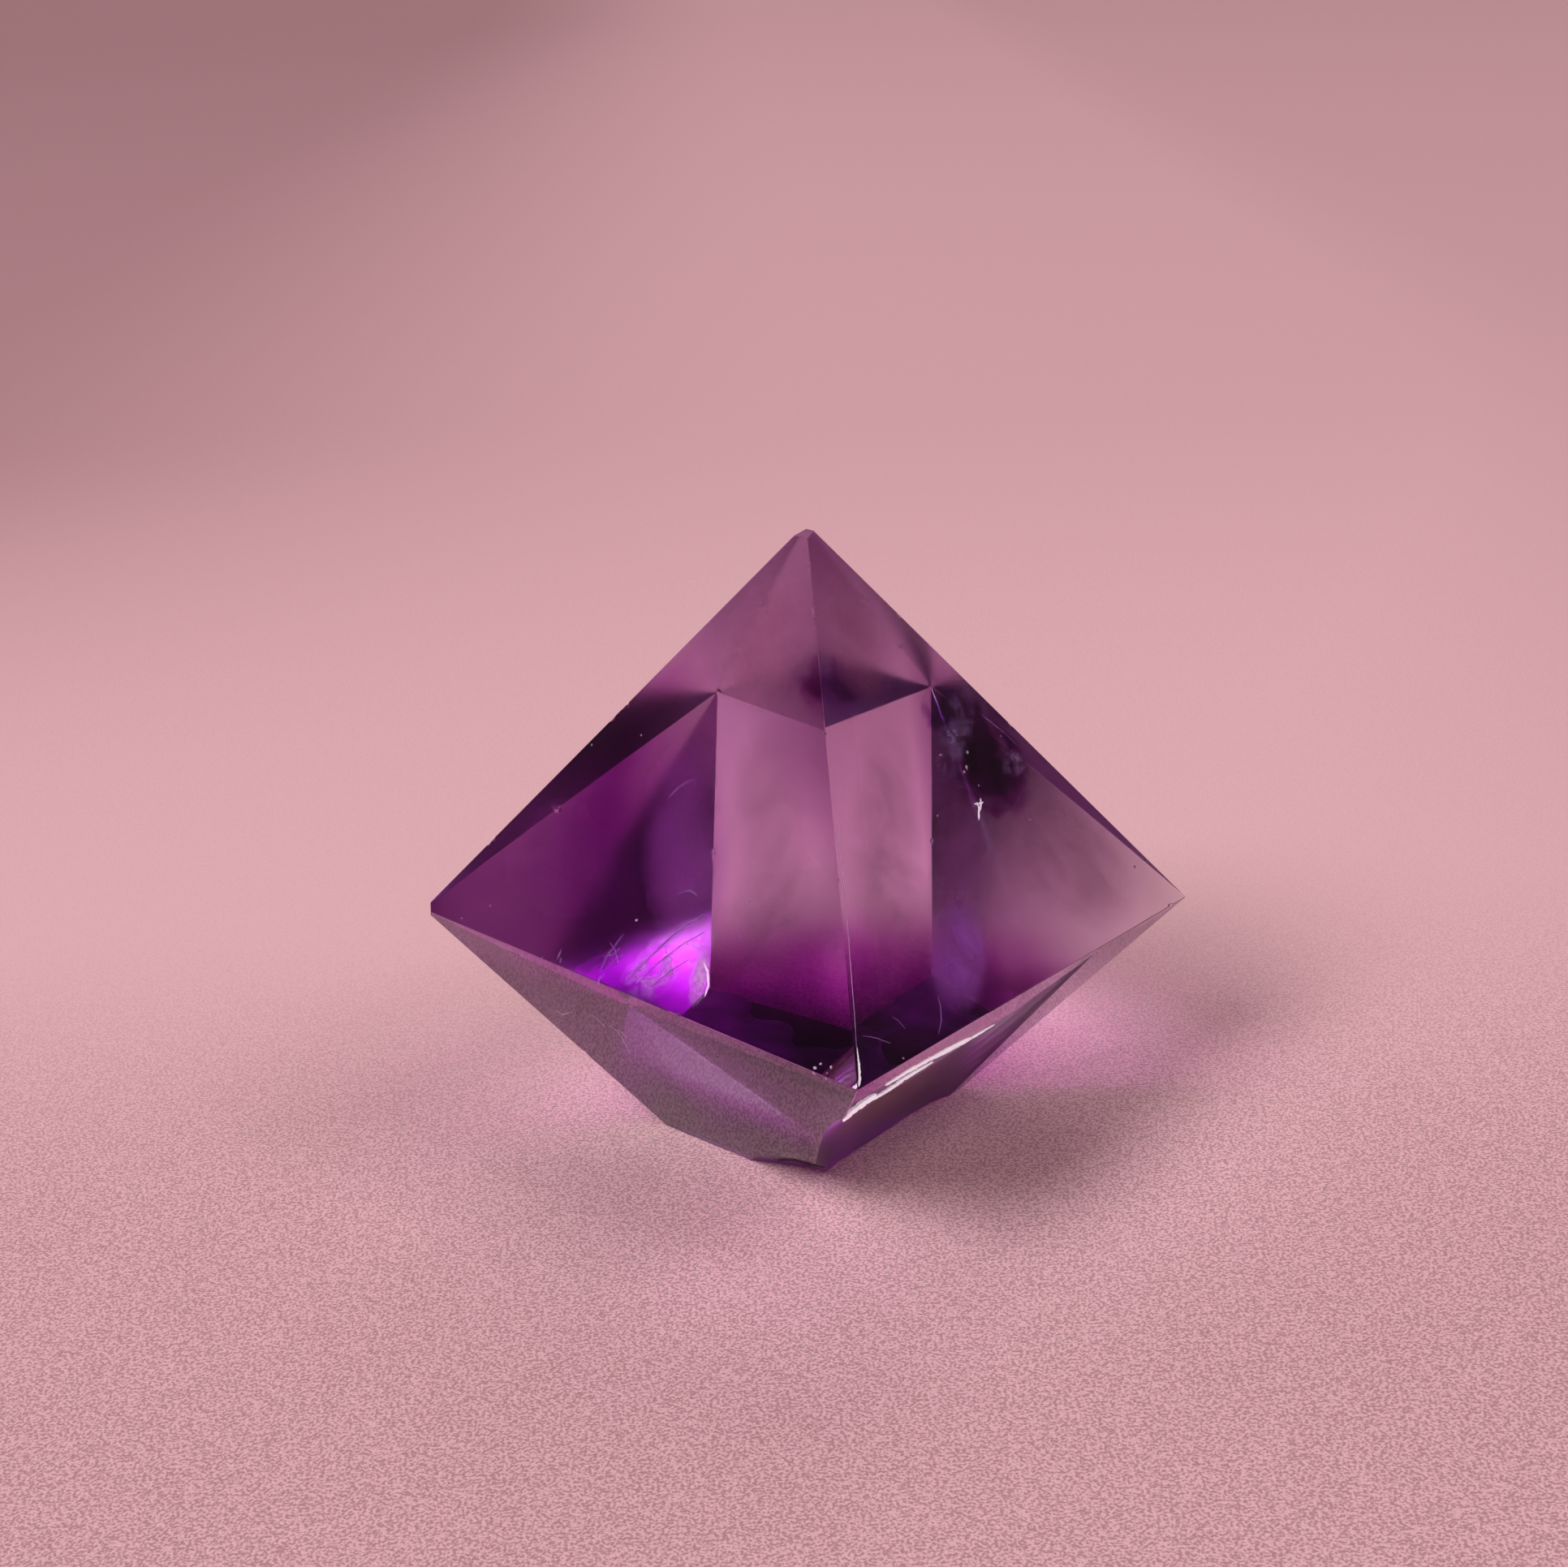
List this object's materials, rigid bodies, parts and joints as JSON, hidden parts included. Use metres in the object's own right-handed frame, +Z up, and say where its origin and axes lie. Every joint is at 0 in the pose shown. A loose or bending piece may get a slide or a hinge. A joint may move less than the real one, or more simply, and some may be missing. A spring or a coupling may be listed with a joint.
{
  "type": "fluorite octahedron crystal",
  "caption": "Clear violet mineral crystal in the shape of an octahedron, standing upright on the flat break of its lowest tip.",
  "frame": {"origin": "middle of the bounding box's bottom, on the plane that the crystal rests on", "axes": "+Z up, +Y from the front tip to the back tip, +X from the left tip to the right tip, near enough"},
  "size_m": [0.0382, 0.0412, 0.0308],
  "materials": {
    "violet_fluorite": "natural cleavage faces, glossy and see-through, with uneven violet colour"
  },
  "bodies": {
    "root": {"fluorite_crystal": "violet_fluorite"}
  },
  "joints": []
}
